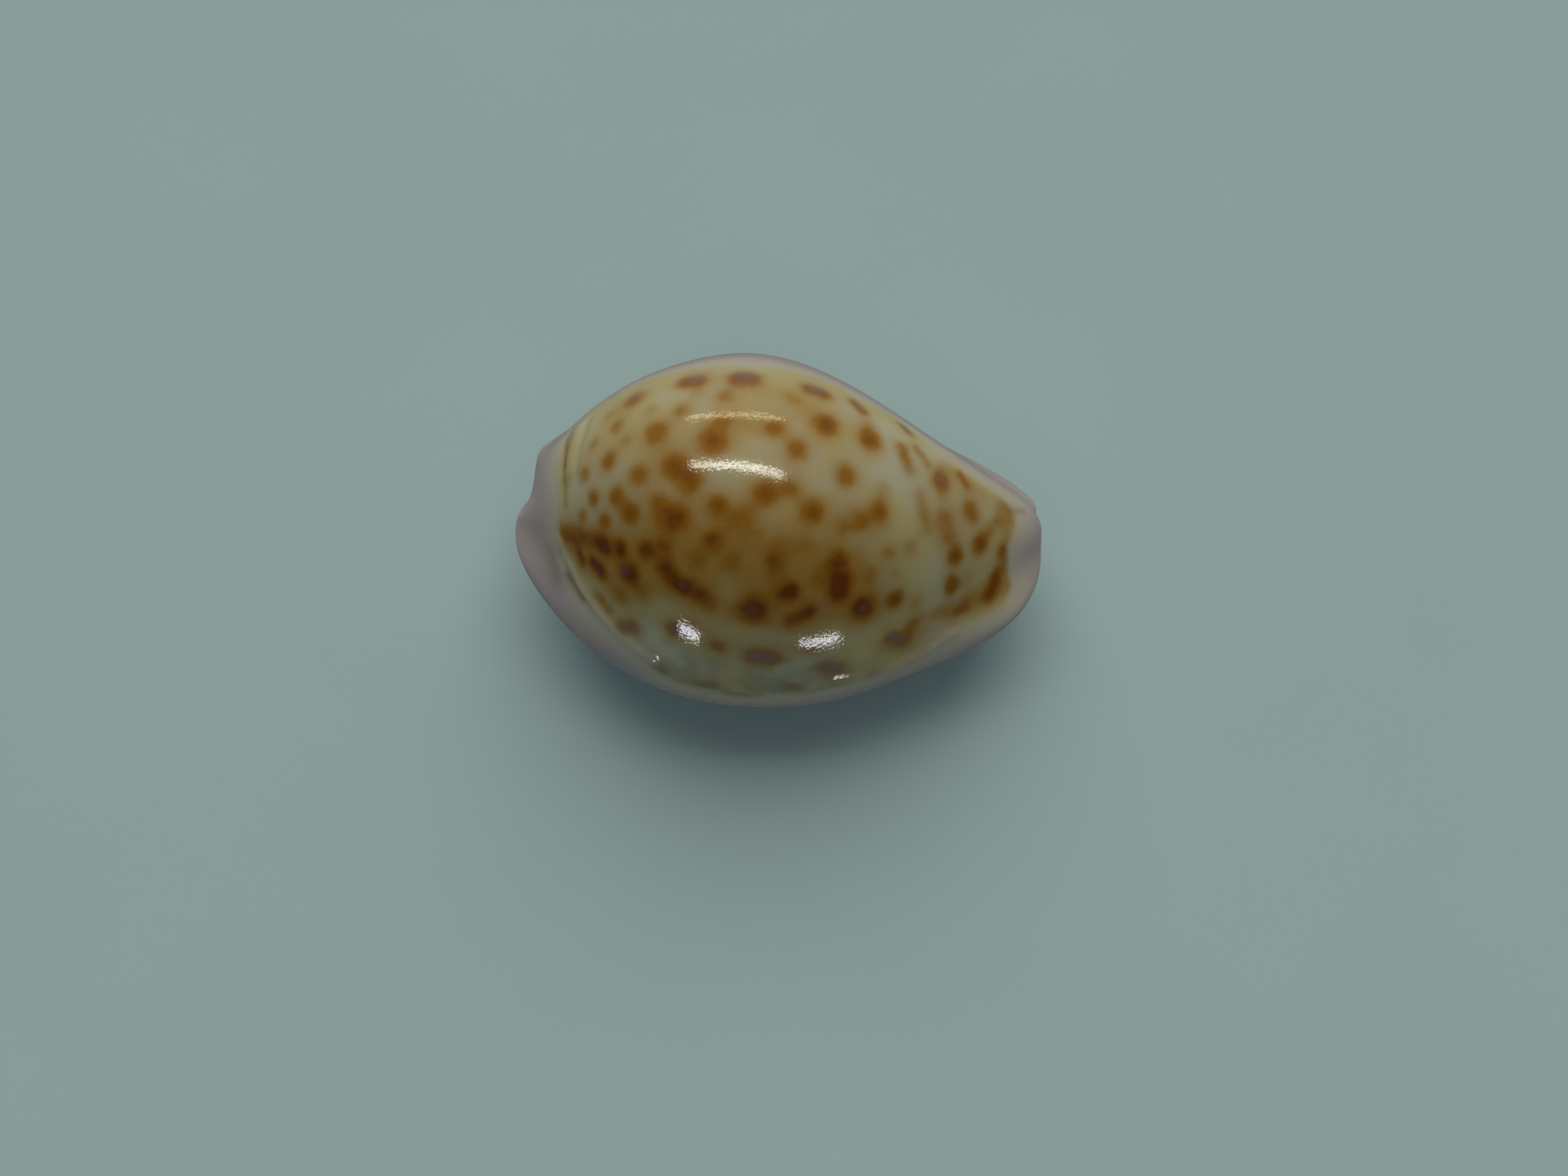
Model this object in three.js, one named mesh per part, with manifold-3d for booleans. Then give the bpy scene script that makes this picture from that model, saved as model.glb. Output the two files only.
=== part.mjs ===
// Cowrie shell: the empty shell of one small cowrie, grown in one piece.
// Millimetres. +X is the front (anterior) end, +Y the columellar side, +Z the domed back.
// The shell lies on its toothed lips, with the origin under its middle and the rest plane at z = 0.

import * as THREE from 'three';
import { ParametricGeometry } from 'three/addons/geometries/ParametricGeometry.js';
import { mergeGeometries, mergeVertices } from 'three/addons/utils/BufferGeometryUtils.js';
import Module from 'manifold-3d';

// Driving dimensions

const LENGTH = 30;
const HALF = LENGTH / 2;
const WALL = 1.25; // thickness of the dome and base
const END_CALLUS = 1.2; // extra thickness in the heavy callus of the two ends
const CANAL_ROOF = 0.4; // how far the widest line of the cavity sits above the outer margin
const LIP_ROUND = 1.1; // radius of the rolled lip beside the slit
const END_LIP_SHARE = 0.25; // how much of that radius is left at the very ends
const POSTERIOR_NOTCH = 1.0; // how far the exhalant canal is set back from the rear end
const ANTERIOR_SETBACK = 0.25; // the columellar terminal stops this much short of the labral one
const ANTERIOR_NOTCH = 0.1; // further dent of the siphonal canal between the two
const CANAL_FLARE = 0.8; // how far the lips draw back where the slit opens at the front end

// The girth runs from the crown (0) over the margin to the lip edge (1), on either side.
const AT_MARGIN = 0.55;
const AT_CREST = 0.88;
const FLANGE_ABOVE = 0.22; // how far up the dome the marginal callus fades, as a share of the way
const FLANGE_BELOW = 0.9; // the same, under the base

// Teeth: grooves cut across both lips, so that the ribs between them are the teeth.
const GROOVE_RADIUS = 0.3;
const GROOVE_LENGTH = 2.4;
const GROOVE_SIDES = 6;
const TOOTH_PITCH = 1.35;
const TOOTHED_FROM = -11.5;
const TOOTHED_TO = 11.9;

// Mesh fineness
const STATIONS = 44;
const GIRTH_STEPS = 44;

// Each profile is given at a few stations along the shell, as [x, value].
const PROFILES = {
	// outermost line of the marginal callus on the labral and the columellar side
	labralEdge: [
		[-15, -0.6], [-14.2, -2.9], [-12.4, -5.4], [-9.8, -7.7], [-6.2, -9.5], [-1, -10.3],
		[3.5, -9.8], [7.5, -8.4], [11, -6.9], [13.3, -5.3], [14.4, -3.8], [15, -1.2],
	],
	columellarEdge: [
		[-15, 4.2], [-14, 5.3], [-12.4, 6.2], [-9.8, 7.8], [-6, 9.3], [-1.5, 10.1],
		[3, 9], [7, 6.9], [10.7, 4.9], [13.3, 3.4], [14.4, 2.5], [15, 1.9],
	],
	// width of the callus flange between that line and the foot of the dome
	labralFlange: [[-15, 0.3], [-13.5, 2.4], [-11, 2.2], [-6, 0.9], [0, 0.5], [6, 0.9], [10, 1.7], [13, 2.2], [15, 0.3]],
	columellarFlange: [[-15, 0.1], [-13.5, 0.9], [-11, 0.8], [-6, 0.4], [0, 0.4], [6, 0.8], [10, 1.2], [13, 1.2], [15, 0.2]],
	// height of the crown line, and how far it lies to the columellar side
	crown: [
		[-15, 6.2], [-14, 8], [-12.7, 9.8], [-11, 11.9], [-8, 14.6], [-4.5, 16],
		[-1, 16.2], [4, 14.6], [8, 12.3], [11.5, 9.5], [13.6, 7.6], [15, 5.9],
	],
	crownSide: [[-15, 2], [-12.5, 1.2], [-5, 0.4], [5, 0.2], [12, 0.2], [15, 0.4]],
	// height of the margin, and of the lowest line of the lips
	margin: [[-15, 5.6], [-12, 5.1], [-2, 4.6], [6, 4.6], [12, 4.9], [15, 5.2]],
	crest: [
		[-15, 4.6], [-13.8, 3.6], [-12, 2.6], [-8, 1.2], [-4.5, 0.15], [-0.8, -0.12],
		[3, 0.15], [8, 1.4], [12, 2.4], [13.8, 3.2], [15, 4.4],
	],
	// middle line and half width of the slit
	slitSide: [[-15, 2.6], [-13, 2.2], [-10, 1], [-5, -0.1], [0, -0.4], [6, -0.4], [11, 0.1], [15, 0.6]],
	slitHalf: [[-15, 0.5], [-12, 0.7], [-8, 0.6], [0, 0.7], [7, 0.9], [12, 1], [15, 0.5]],
};

const QUARTER = Math.PI / 2;
const clamp = THREE.MathUtils.clamp;

// A station u runs from -1 to 1. The ends are eased, so a section that shrinks there closes round.
const stationAt = ( x ) => Math.asin( clamp( x / HALF, - 1, 1 ) ) / QUARTER;

// Natural cubic spline through [x, value] knots, as a function of the station.
function smoothProfile( knots ) {

	const at = knots.map( ( [ x ] ) => stationAt( x ) );
	const value = knots.map( ( [ , y ] ) => y );
	const last = knots.length - 1;
	const bend = new Array( knots.length ).fill( 0 );
	const ratio = new Array( knots.length ).fill( 0 );
	for ( let i = 1; i < last; i ++ ) {

		const before = at[ i ] - at[ i - 1 ];
		const after = at[ i + 1 ] - at[ i ];
		const pivot = 2 * ( before + after ) - before * ratio[ i - 1 ];
		const turn = ( value[ i + 1 ] - value[ i ] ) / after - ( value[ i ] - value[ i - 1 ] ) / before;
		ratio[ i ] = after / pivot;
		bend[ i ] = ( 6 * turn - before * bend[ i - 1 ] ) / pivot;

	}

	for ( let i = last - 1; i > 0; i -- ) bend[ i ] -= ratio[ i ] * bend[ i + 1 ];

	return ( u ) => {

		let i = 0;
		while ( i < last - 1 && u > at[ i + 1 ] ) i ++;
		const span = at[ i + 1 ] - at[ i ];
		const left = ( at[ i + 1 ] - u ) / span;
		const right = 1 - left;
		const cubic = ( left ** 3 - left ) * bend[ i ] + ( right ** 3 - right ) * bend[ i + 1 ];
		return left * value[ i ] + right * value[ i + 1 ] + cubic * span * span / 6;

	};

}

const profile = {};
for ( const [ name, knots ] of Object.entries( PROFILES ) ) profile[ name ] = smoothProfile( knots );

// 0 below, 1 above, turning over smoothly about a middle value
const step = ( value, middle, width ) => 0.5 + 0.5 * Math.tanh( ( value - middle ) / width );

// How far a girth line is pulled in from each end, which leaves the two canals as notches.
function endSetback( v, s ) {

	const rearLobe = step( v, - 0.93, 0.06 ) - step( v, - 0.19, 0.14 );
	const rear = POSTERIOR_NOTCH * ( 1 - rearLobe ) * Math.max( 0, - s ) ** 10;
	const dent = Math.exp( - ( ( ( v - 0.05 ) / 0.1 ) ** 2 ) );
	const front = ANTERIOR_SETBACK * step( v, 0.05, 0.08 ) + ANTERIOR_NOTCH * dent
		+ CANAL_FLARE * step( Math.abs( v ), 0.93, 0.06 );
	return rear - front * Math.max( 0, s ) ** 12;

}

// Everything about one station and side that both the outer and the inner face need.
function station( u, v ) {

	const side = v < 0 ? - 1 : 1;
	const s = Math.sin( u * QUARTER );
	const edge = v < 0 ? profile.labralEdge( u ) : profile.columellarEdge( u );
	const flange = v < 0 ? profile.labralFlange( u ) : profile.columellarFlange( u );
	const lip = LIP_ROUND * clamp( 1.6 * Math.cos( u * QUARTER ), END_LIP_SHARE, 1 );
	return {
		side, lip, flange,
		girth: Math.abs( v ),
		x: HALF * s + endSetback( v, s ),
		foot: edge - side * flange,
		crownY: profile.crownSide( u ),
		crownZ: profile.crown( u ),
		marginZ: profile.margin( u ),
		crestZ: profile.crest( u ),
		lipY: profile.slitSide( u ) + side * profile.slitHalf( u ),
		callus: END_CALLUS * Math.abs( s ) ** 6,
	};

}

// Outer face: dome, margin with its callus flange, base, and the lip rolled up into the slit.
function outerPoint( u, v ) {

	const at = station( u, v );
	const crestY = at.lipY + at.side * at.lip;
	let y, z, swell;
	if ( at.girth < AT_MARGIN ) {

		const turn = QUARTER * at.girth / AT_MARGIN;
		y = at.crownY + ( at.foot - at.crownY ) * Math.sin( turn );
		z = at.marginZ + ( at.crownZ - at.marginZ ) * Math.cos( turn );
		swell = Math.exp( - ( ( ( 1 - at.girth / AT_MARGIN ) / FLANGE_ABOVE ) ** 2 ) );

	} else {

		const share = Math.min( 1, ( at.girth - AT_MARGIN ) / ( AT_CREST - AT_MARGIN ) );
		y = crestY + ( at.foot - crestY ) * Math.cos( QUARTER * share );
		z = at.marginZ - ( at.marginZ - at.crestZ ) * Math.sin( QUARTER * share );
		swell = 0.5 + 0.5 * Math.cos( Math.PI * Math.min( 1, share / FLANGE_BELOW ) );

	}

	if ( at.girth > AT_CREST ) {

		const turn = QUARTER * ( at.girth - AT_CREST ) / ( 1 - AT_CREST );
		y = crestY - at.side * at.lip * Math.sin( turn );
		z = at.crestZ + at.lip * ( 1 - Math.cos( turn ) );

	}

	return new THREE.Vector3( at.x, y + at.side * at.flange * swell, z );

}

// Inner face: the cavity wall, which closes onto the outer face along the lips and both end rims.
function innerPoint( u, v ) {

	const at = station( u, v );
	const outer = outerPoint( u, v );
	const lipZ = at.crestZ + at.lip;
	const wideZ = at.marginZ + CANAL_ROOF;
	const reach = at.side * ( at.foot - at.lipY ) - WALL - at.callus;
	const wideY = at.lipY + at.side * 0.5 * ( reach + Math.sqrt( reach * reach + 0.3 ) );
	const inner = outer.clone();
	if ( at.girth < AT_MARGIN ) {

		const turn = QUARTER * at.girth / AT_MARGIN;
		inner.y = at.crownY + ( wideY - at.crownY ) * Math.sin( turn );
		inner.z = wideZ + ( at.crownZ - WALL - wideZ ) * Math.cos( turn );

	} else {

		const turn = QUARTER * ( at.girth - AT_MARGIN ) / ( 1 - AT_MARGIN );
		inner.y = at.lipY + ( wideY - at.lipY ) * Math.cos( turn );
		inner.z = wideZ - ( wideZ - lipZ ) * Math.sin( turn );

	}

	const open = Math.sin( QUARTER * Math.min( 1, ( 1 - Math.abs( u ) ) / 0.33 ) );
	return outer.lerp( inner, open );

}

// Manifold solids from three.js geometry, and back

const wasm = await Module();
wasm.setup();

function toSolid( geometry ) {

	const bare = geometry.clone();
	bare.deleteAttribute( 'normal' );
	bare.deleteAttribute( 'uv' );
	const merged = mergeVertices( bare, 1e-4 );
	return new wasm.Manifold( new wasm.Mesh( {
		numProp: 3,
		vertProperties: new Float32Array( merged.attributes.position.array ),
		triVerts: new Uint32Array( merged.index.array ),
	} ) );

}

function toGeometry( solid ) {

	const mesh = solid.getMesh();
	const geometry = new THREE.BufferGeometry();
	geometry.setAttribute( 'position', new THREE.BufferAttribute( new Float32Array( mesh.vertProperties ), 3 ) );
	geometry.setIndex( new THREE.BufferAttribute( new Uint32Array( mesh.triVerts ), 1 ) );
	geometry.computeVertexNormals();
	return geometry;

}

// The wall of the shell: outer and inner face as one closed surface
function shellWall() {

	const outer = new ParametricGeometry(
		( a, b, target ) => target.copy( outerPoint( 2 * a - 1, 2 * b - 1 ) ), STATIONS, GIRTH_STEPS );
	const inner = new ParametricGeometry(
		( a, b, target ) => target.copy( innerPoint( 1 - 2 * a, 2 * b - 1 ) ), STATIONS, GIRTH_STEPS );
	return toSolid( mergeGeometries( [ outer, inner ] ) );

}

// Grooves between the teeth of one lip, lying across it just under its rounded edge
function* grooves( side ) {

	for ( let x = TOOTHED_FROM; x <= TOOTHED_TO; x += TOOTH_PITCH ) {

		const u = stationAt( x );
		const lipEdge = outerPoint( u, side );
		const crest = outerPoint( u, side * AT_CREST );
		const groove = new THREE.CylinderGeometry( GROOVE_RADIUS, GROOVE_RADIUS, GROOVE_LENGTH, GROOVE_SIDES );
		groove.translate( x, lipEdge.y + side * GROOVE_LENGTH * 0.38, crest.z );
		yield toSolid( groove );

	}

}

function cowrieShell() {

	let solid = shellWall();
	for ( const side of [ - 1, 1 ] ) {

		for ( const groove of grooves( side ) ) solid = solid.subtract( groove );

	}

	// the small flat spots on the lips that the shell rests on
	const floor = new THREE.BoxGeometry( LENGTH, LENGTH, 1 ).translate( 0, 0, - 0.5 );
	solid = solid.subtract( toSolid( floor ) );

	const geometry = toGeometry( solid );
	geometry.computeBoundingBox();
	const middle = geometry.boundingBox.getCenter( new THREE.Vector3() );
	geometry.translate( - middle.x, - middle.y, 0 );

	const enamel = new THREE.MeshStandardMaterial( { color: 0xcfc096, roughness: 0.18, metalness: 0 } );
	const mesh = new THREE.Mesh( geometry, enamel );
	mesh.name = 'cowrie_shell';
	return mesh;

}

const part = new THREE.Group();
part.add( cowrieShell() );

export default part;
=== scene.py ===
import math

import bpy
import numpy as np
from mathutils import Matrix, Vector


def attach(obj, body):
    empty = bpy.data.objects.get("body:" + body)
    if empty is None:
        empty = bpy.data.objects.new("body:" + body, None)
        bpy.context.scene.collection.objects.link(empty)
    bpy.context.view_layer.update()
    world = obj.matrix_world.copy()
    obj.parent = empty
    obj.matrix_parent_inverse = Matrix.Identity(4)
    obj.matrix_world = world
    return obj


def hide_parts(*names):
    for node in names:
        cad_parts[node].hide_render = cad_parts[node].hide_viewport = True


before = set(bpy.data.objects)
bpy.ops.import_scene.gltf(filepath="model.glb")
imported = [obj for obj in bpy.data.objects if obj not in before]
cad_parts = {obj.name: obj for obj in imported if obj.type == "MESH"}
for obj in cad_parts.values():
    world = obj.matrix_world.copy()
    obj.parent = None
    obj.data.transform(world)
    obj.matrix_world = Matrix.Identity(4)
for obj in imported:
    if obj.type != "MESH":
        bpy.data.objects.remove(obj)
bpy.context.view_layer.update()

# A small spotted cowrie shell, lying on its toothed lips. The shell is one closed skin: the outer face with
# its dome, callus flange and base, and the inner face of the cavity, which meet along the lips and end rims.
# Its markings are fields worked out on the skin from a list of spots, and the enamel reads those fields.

MM = 0.001

# ---------------------------------------------------------------- sizes of the shell, in millimetres

HALF = 15.0
WALL = 1.25  # thickness of the dome and base
END_CALLUS = 1.2  # extra thickness in the heavy callus of the two ends
CANAL_ROOF = 0.4  # how far the widest line of the cavity sits above the outer margin
LIP_ROUND = 1.1  # radius of the rolled lip beside the slit
END_LIP_SHARE = 0.25
POSTERIOR_NOTCH = 1.0
ANTERIOR_SETBACK = 0.25
ANTERIOR_NOTCH = 0.1
CANAL_FLARE = 0.8
CAVITY_TAPER = 0.33  # the share of the stations of each half over which the cavity closes to the end rim
CAVITY_EDGE = 0.3  # how softly the cavity narrows down to the slit, in square millimetres

# The girth runs from the crown (0) over the margin to the lip edge (1), on either side.
AT_MARGIN = 0.55
AT_CREST = 0.88
FLANGE_ABOVE = 0.22
FLANGE_BELOW = 0.9

TOOTH_PITCH = 1.35
TOOTH_DEPTH = 0.32
TOOTH_STRAY = 0.25  # how widely the grooves are spread about their even places, as a share of the pitch
TOOTH_SEED = 5
TOOTHED_FROM = -11.5
TOOTHED_TO = 11.9
TOOTHED_FADE = 0.7
LABRAL_TEETH_FROM = 0.79  # the girth where the teeth begin to rise, on either side
COLUMELLAR_TEETH_FROM = 0.83

# Each profile is given at a few stations along the shell, as (x, value).
PROFILES = {
    "labral_edge": [
        (-15, -0.6), (-14.2, -2.9), (-12.4, -5.4), (-9.8, -7.7), (-6.2, -9.5), (-1, -10.3),
        (3.5, -9.8), (7.5, -8.4), (11, -6.9), (13.3, -5.3), (14.4, -3.8), (15, -1.2),
    ],
    "columellar_edge": [
        (-15, 4.2), (-14, 5.3), (-12.4, 6.2), (-9.8, 7.8), (-6, 9.3), (-1.5, 10.1),
        (3, 9), (7, 6.9), (10.7, 4.9), (13.3, 3.4), (14.4, 2.5), (15, 1.9),
    ],
    "labral_flange": [
        (-15, 0.3), (-13.5, 2.4), (-11, 2.2), (-6, 0.9), (0, 0.5), (6, 0.9), (10, 1.7), (13, 2.2), (15, 0.3),
    ],
    "columellar_flange": [
        (-15, 0.1), (-13.5, 0.9), (-11, 0.8), (-6, 0.4), (0, 0.4), (6, 0.8), (10, 1.2), (13, 1.2), (15, 0.2),
    ],
    "crown": [
        (-15, 6.2), (-14, 8), (-12.7, 9.8), (-11, 11.9), (-8, 14.6), (-4.5, 16),
        (-1, 16.2), (4, 14.6), (8, 12.3), (11.5, 9.5), (13.6, 7.6), (15, 5.9),
    ],
    "crown_side": [(-15, 2), (-12.5, 1.2), (-5, 0.4), (5, 0.2), (12, 0.2), (15, 0.4)],
    "margin": [(-15, 5.6), (-12, 5.1), (-2, 4.6), (6, 4.6), (12, 4.9), (15, 5.2)],
    "crest": [
        (-15, 4.6), (-13.8, 3.6), (-12, 2.6), (-8, 1.2), (-4.5, 0.15), (-0.8, -0.12),
        (3, 0.15), (8, 1.4), (12, 2.4), (13.8, 3.2), (15, 4.4),
    ],
    "slit_side": [(-15, 2.6), (-13, 2.2), (-10, 1), (-5, -0.1), (0, -0.4), (6, -0.4), (11, 0.1), (15, 0.6)],
    "slit_half": [(-15, 0.5), (-12, 0.7), (-8, 0.6), (0, 0.7), (7, 0.9), (12, 1), (15, 0.5)],
}

# ---------------------------------------------------------------- fineness of the skin

STATIONS = 330
GIRTH_STEPS = 216
INNER_EVERY = 4  # the cavity wall has one step for this many of the outer face
KEY_GIRTHS = [0, 0.1, 0.2, 0.3, 0.38, 0.44, 0.5, 0.56, 0.63, 0.7, 0.77, 0.84, 0.88, 0.91, 0.94, 0.97, 1]

QUARTER = math.pi / 2


def station_at(x):
    return np.arcsin(np.clip(np.asarray(x, float) / HALF, -1, 1)) / QUARTER


def spline_weights(knots, where):
    """How much each knot counts at each place, on a natural cubic spline."""
    knots = np.asarray(knots, float)
    where = np.asarray(where, float)
    count = len(knots)
    gap = np.diff(knots)
    left_side = np.eye(count)
    right_side = np.zeros((count, count))
    for i in range(1, count - 1):
        left_side[i, i - 1:i + 2] = gap[i - 1], 2 * (gap[i - 1] + gap[i]), gap[i]
        right_side[i, i - 1:i + 2] = 6 / gap[i - 1], -6 / gap[i - 1] - 6 / gap[i], 6 / gap[i]
    bend = np.linalg.solve(left_side, right_side)
    piece = np.clip(np.searchsorted(knots, where) - 1, 0, count - 2)
    left = (knots[piece + 1] - where) / gap[piece]
    right = 1 - left
    weights = ((left ** 3 - left) * gap[piece] ** 2 / 6)[:, None] * bend[piece]
    weights += ((right ** 3 - right) * gap[piece] ** 2 / 6)[:, None] * bend[piece + 1]
    row = np.arange(len(where))
    weights[row, piece] += left
    weights[row, piece + 1] += right
    return weights


def profile(name, u):
    knots = np.array(PROFILES[name], float)
    return spline_weights(station_at(knots[:, 0]), u) @ knots[:, 1]


def step(value, middle, width):
    return 0.5 + 0.5 * np.tanh((value - middle) / width)


def bump(distance, width):
    return np.exp(-(distance / width) ** 2)


def end_setback(v, s):
    """How far a girth line is pulled in from each end, which leaves the two canals as notches.

    The rear lobe is the stretch of the labral side that reaches furthest back.
    """
    rear_lobe = step(v, -0.72, 0.09) - step(v, -0.19, 0.14)
    rear = POSTERIOR_NOTCH * (1 - rear_lobe) * np.maximum(0, -s) ** 10
    front = ANTERIOR_SETBACK * step(v, 0.05, 0.08) + ANTERIOR_NOTCH * bump(v - 0.05, 0.1)
    front = front + CANAL_FLARE * step(np.abs(v), 0.93, 0.06)
    return rear - front * np.maximum(0, s) ** 12


def face_points(u, v):
    """Outer and inner face at every station u and girth v, as two arrays of [station, girth, xyz]."""
    at = {name: profile(name, u)[:, None] for name in PROFILES}
    u = u[:, None]
    v = v[None, :]
    girth = np.abs(v)
    side = np.where(v < 0, -1.0, 1.0)
    s = np.sin(u * QUARTER)
    edge = np.where(v < 0, at["labral_edge"], at["columellar_edge"])
    flange = np.where(v < 0, at["labral_flange"], at["columellar_flange"])
    foot = edge - side * flange
    lip = LIP_ROUND * np.clip(1.6 * np.cos(u * QUARTER), END_LIP_SHARE, 1)
    lip_y = at["slit_side"] + side * at["slit_half"]
    crest_y = lip_y + side * lip
    on_dome = girth < AT_MARGIN
    on_lip = girth > AT_CREST

    dome_turn = QUARTER * np.minimum(1, girth / AT_MARGIN)
    base_share = np.clip((girth - AT_MARGIN) / (AT_CREST - AT_MARGIN), 0, 1)
    lip_turn = QUARTER * np.clip((girth - AT_CREST) / (1 - AT_CREST), 0, 1)
    dome_y = at["crown_side"] + (foot - at["crown_side"]) * np.sin(dome_turn)
    dome_z = at["margin"] + (at["crown"] - at["margin"]) * np.cos(dome_turn)
    base_y = crest_y + (foot - crest_y) * np.cos(QUARTER * base_share)
    base_z = at["margin"] - (at["margin"] - at["crest"]) * np.sin(QUARTER * base_share)
    lip_side_y = crest_y - side * lip * np.sin(lip_turn)
    lip_side_z = at["crest"] + lip * (1 - np.cos(lip_turn))
    swell = np.where(
        on_dome,
        bump(1 - girth / AT_MARGIN, FLANGE_ABOVE),
        0.5 + 0.5 * np.cos(math.pi * np.minimum(1, base_share / FLANGE_BELOW)),
    )
    x = HALF * s + end_setback(v, s)
    y = np.where(on_dome, dome_y, np.where(on_lip, lip_side_y, base_y)) + side * flange * swell
    z = np.where(on_dome, dome_z, np.where(on_lip, lip_side_z, base_z))
    outer = np.stack(np.broadcast_arrays(x, y, z), -1)

    reach = side * (foot - lip_y) - WALL - END_CALLUS * np.abs(s) ** 6
    wide_y = lip_y + side * 0.5 * (reach + np.sqrt(reach ** 2 + CAVITY_EDGE))
    wide_z = at["margin"] + CANAL_ROOF
    inner_turn = QUARTER * np.clip((girth - AT_MARGIN) / (1 - AT_MARGIN), 0, 1)
    roof_y = at["crown_side"] + (wide_y - at["crown_side"]) * np.sin(dome_turn)
    roof_z = wide_z + (at["crown"] - WALL - wide_z) * np.cos(dome_turn)
    floor_y = lip_y + (wide_y - lip_y) * np.cos(inner_turn)
    floor_z = wide_z - (wide_z - at["crest"] - lip) * np.sin(inner_turn)
    inner = np.stack(
        np.broadcast_arrays(x, np.where(on_dome, roof_y, floor_y), np.where(on_dome, roof_z, floor_z)), -1)
    opened = np.sin(QUARTER * np.minimum(1, (1 - np.abs(u)) / CAVITY_TAPER))[..., None]
    return outer, outer + (inner - outer) * opened


def smooth_faces():
    """The two faces on the full grid, with the section carried by one smooth curve through its key girths."""
    keys = np.array([-g for g in KEY_GIRTHS[:0:-1]] + KEY_GIRTHS, float)
    u = np.linspace(-1, 1, STATIONS + 1)
    v = np.linspace(-1, 1, GIRTH_STEPS + 1)
    outer_keys, inner_keys = face_points(u, keys)
    weights = spline_weights(keys, v)
    outer = np.einsum("vk,ukc->uvc", weights, outer_keys)
    inner = np.einsum("vk,ukc->uvc", weights, inner_keys)
    return u, v, outer, inner


# ---------------------------------------------------------------- places on the skin

u_rows, v_steps, outer_skin, inner_skin = smooth_faces()
x_rows = HALF * np.sin(u_rows * QUARTER)
MIDDLE = GIRTH_STEPS // 2
step_lengths = np.linalg.norm(np.diff(outer_skin, axis=1), axis=2)
girth_from_lip = np.concatenate([np.zeros((STATIONS + 1, 1)), np.cumsum(step_lengths, axis=1)], axis=1)
girth_from_crown = girth_from_lip - girth_from_lip[:, MIDDLE:MIDDLE + 1]


def on_skin(x, g):
    """The point of the outer face at station x, g round from the crown; the labral side is negative."""
    row = float(station_at(x) + 1) / 2 * STATIONS
    low = min(int(row), STATIONS - 1)
    share = row - low
    section = outer_skin[low] * (1 - share) + outer_skin[low + 1] * share
    girth = girth_from_crown[low] * (1 - share) + girth_from_crown[low + 1] * share
    return np.array([np.interp(g, girth, section[:, axis]) for axis in range(3)])


def distance_to(path, points):
    """Distance of every point to a path over the skin, given as (x, g) places joined by straight runs."""
    corners = [on_skin(*place) for place in path]
    if len(corners) == 1:
        return np.linalg.norm(points - corners[0], axis=-1)
    nearest = np.full(points.shape[:-1], np.inf)
    for start, end in zip(corners, corners[1:]):
        run = end - start
        share = np.clip((points - start) @ run / (run @ run), 0, 1)
        nearest = np.minimum(nearest, np.linalg.norm(points - start - share[..., None] * run, axis=-1))
    return nearest


def inside(outline, x, g):
    """Whether each place lies inside a closed outline of (x, g) places."""
    within = np.zeros(x.shape, bool)
    for (x0, g0), (x1, g1) in zip(outline, outline[1:] + outline[:1]):
        crosses = (g0 > g) != (g1 > g)
        at = x0 + (g - g0) * (x1 - x0) / np.where(g1 == g0, 1, g1 - g0)
        within ^= crosses & (x < at)
    return within


# ---------------------------------------------------------------- markings, as (x, g) places in millimetres

SPREAD = 1.12  # how far the pigment has bled past the radius of each mark
SPOT_FLATNESS = 2.4
HALO_SIZE = 1.85  # the tan halo round a spot, as shares of the radius and strength of the spot
HALO_STRENGTH = 0.45
RING_RUN = 0.7  # the parts of a ringed spot, as shares of its half length and its radius
RING_SIZE = 1.25
RING_HEART_SIZE = 0.52
RING_HEART_STRENGTH = 0.78
SIDE_ROWS = (8.4, 11.2)  # the girths of the faint spots under the callus of the columellar side
SIDE_PITCH = 2.9

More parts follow.
